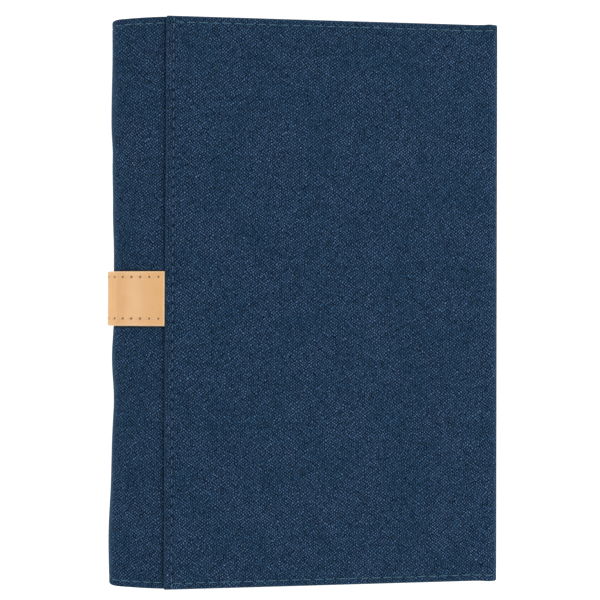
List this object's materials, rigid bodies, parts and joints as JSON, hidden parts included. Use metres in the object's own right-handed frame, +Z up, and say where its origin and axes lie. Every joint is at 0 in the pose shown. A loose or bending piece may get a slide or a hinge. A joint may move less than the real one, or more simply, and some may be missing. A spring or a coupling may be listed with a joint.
{
  "type": "travel document organizer",
  "caption": "Soft bifold organizer for travel papers: fabric covers, rounded spine with a leather band, and zip, card, window, ticket and passport pockets inside.",
  "frame": {"origin": "middle of the footprint, on the back cover's outer face", "axes": "+Z up from the back cover to the front cover, +Y from tail to head along the spine, +X from the spine to the fore edge"},
  "size_m": [0.1592, 0.23, 0.025],
  "materials": {
    "cover_fabric": "heather weave",
    "band_leather": "smooth, semi matt",
    "band_backing": "suede side",
    "lining_cloth": "fine twill",
    "board": "raw board",
    "cover_thread": "twisted thread",
    "pocket_cloth": "plain weave",
    "card_cloth": "plain weave",
    "binding_tape": "ribbed tape",
    "zip_tape": "woven tape",
    "zip_coil": "matt",
    "zip_metal": "antique, satin",
    "tab_leather": "smooth",
    "elastic": "ribbed elastic",
    "window_film": "clear"
  },
  "bodies": {
    "back_cover": {"back_cover_panel": "cover_fabric", "back_cover_board": "board", "back_cover_lining": "lining_cloth", "back_cover_thread": "cover_thread", "zip_panel_gutter": "pocket_cloth", "zip_panel_main": "pocket_cloth", "zip_tape_gutter": "zip_tape", "zip_tape_main": "zip_tape", "zip_coil_gutter": "zip_coil", "zip_coil_main": "zip_coil", "zip_stop_tail": "zip_metal", "zip_stop_head": "zip_metal", "zip_tab_tail": "tab_leather", "zip_tab_head": "tab_leather", "ticket_pocket": "pocket_cloth", "ticket_pocket_binding": "binding_tape", "passport_pocket": "pocket_cloth", "passport_pocket_binding": "binding_tape", "pen_loop": "elastic"},
    "front_cover": {"front_cover_panel": "cover_fabric", "front_cover_board": "board", "front_cover_lining": "lining_cloth", "front_cover_thread": "cover_thread", "document_pocket": "pocket_cloth", "document_pocket_binding": "binding_tape", "card_pocket_1": "card_cloth", "card_pocket_2": "card_cloth", "card_pocket_3": "card_cloth", "card_pocket_4": "card_cloth", "id_window_frame": "pocket_cloth", "id_window_film": "window_film"},
    "zip_slider": {"zip_slider": "zip_metal"},
    "zip_pull": {"zip_pull": "zip_metal"},
    "spine_back_strip": {"band_leather_back_strip": "band_leather", "band_backing_back_strip": "band_backing", "spine_fabric_back_strip": "cover_fabric", "spine_lining_back_strip": "lining_cloth"},
    "spine_nose_1": {"band_leather_nose_1": "band_leather", "band_backing_nose_1": "band_backing", "spine_fabric_nose_1": "cover_fabric", "spine_lining_nose_1": "lining_cloth"},
    "spine_nose_2": {"band_leather_nose_2": "band_leather", "band_backing_nose_2": "band_backing", "spine_fabric_nose_2": "cover_fabric", "spine_lining_nose_2": "lining_cloth"},
    "spine_nose_3": {"band_leather_nose_3": "band_leather", "band_backing_nose_3": "band_backing", "spine_fabric_nose_3": "cover_fabric", "spine_lining_nose_3": "lining_cloth"},
    "spine_front_strip": {"band_leather_front_strip": "band_leather", "band_backing_front_strip": "band_backing", "spine_fabric_front_strip": "cover_fabric", "spine_lining_front_strip": "lining_cloth"}
  },
  "joints": [
    {"name": "back_seam_hinge", "type": "hinge", "parent": "back_cover", "child": "spine_back_strip", "pos_m": [-0.05635, 0, 0], "axis": [0, -1, 0], "range_deg": [0, 15.05]},
    {"name": "spine_fold_1", "type": "hinge", "parent": "spine_back_strip", "child": "spine_nose_1", "pos_m": [-0.07484, 0, 0.00496], "axis": [0, -1, 0], "range_deg": [0, 31.72]},
    {"name": "spine_fold_2", "type": "hinge", "parent": "spine_nose_1", "child": "spine_nose_2", "pos_m": [-0.07906, 0, 0.00943], "axis": [0, -1, 0], "range_deg": [0, 43.33]},
    {"name": "spine_fold_3", "type": "hinge", "parent": "spine_nose_2", "child": "spine_nose_3", "pos_m": [-0.07906, 0, 0.01557], "axis": [0, -1, 0], "range_deg": [0, 43.38]},
    {"name": "spine_fold_4", "type": "hinge", "parent": "spine_nose_3", "child": "spine_front_strip", "pos_m": [-0.07484, 0, 0.02004], "axis": [0, -1, 0], "range_deg": [0, 31.72]},
    {"name": "front_seam_hinge", "type": "hinge", "parent": "spine_front_strip", "child": "front_cover", "pos_m": [-0.05635, 0, 0.025], "axis": [0, -1, 0], "range_deg": [0, 18.84]},
    {"name": "zip_slide", "type": "slide", "parent": "back_cover", "child": "zip_slider", "axis": [0, 1, 0], "range_m": [-0.19, 0]},
    {"name": "zip_pull_hinge", "type": "hinge", "parent": "zip_slider", "child": "zip_pull", "pos_m": [-0.03435, 0.095, 0.00674], "axis": [-1, 0, 0], "range_deg": [0, 175]}
  ],
  "couplings": [
    {"joint": "back_seam_hinge", "follows": "spine_fold_2", "ratio": 0.34615},
    {"joint": "spine_fold_1", "follows": "spine_fold_2", "ratio": 0.73077},
    {"joint": "spine_fold_3", "follows": "spine_fold_2", "ratio": 1},
    {"joint": "spine_fold_4", "follows": "spine_fold_2", "ratio": 0.73077},
    {"joint": "front_seam_hinge", "follows": "spine_fold_2", "ratio": 0.43372}
  ]
}
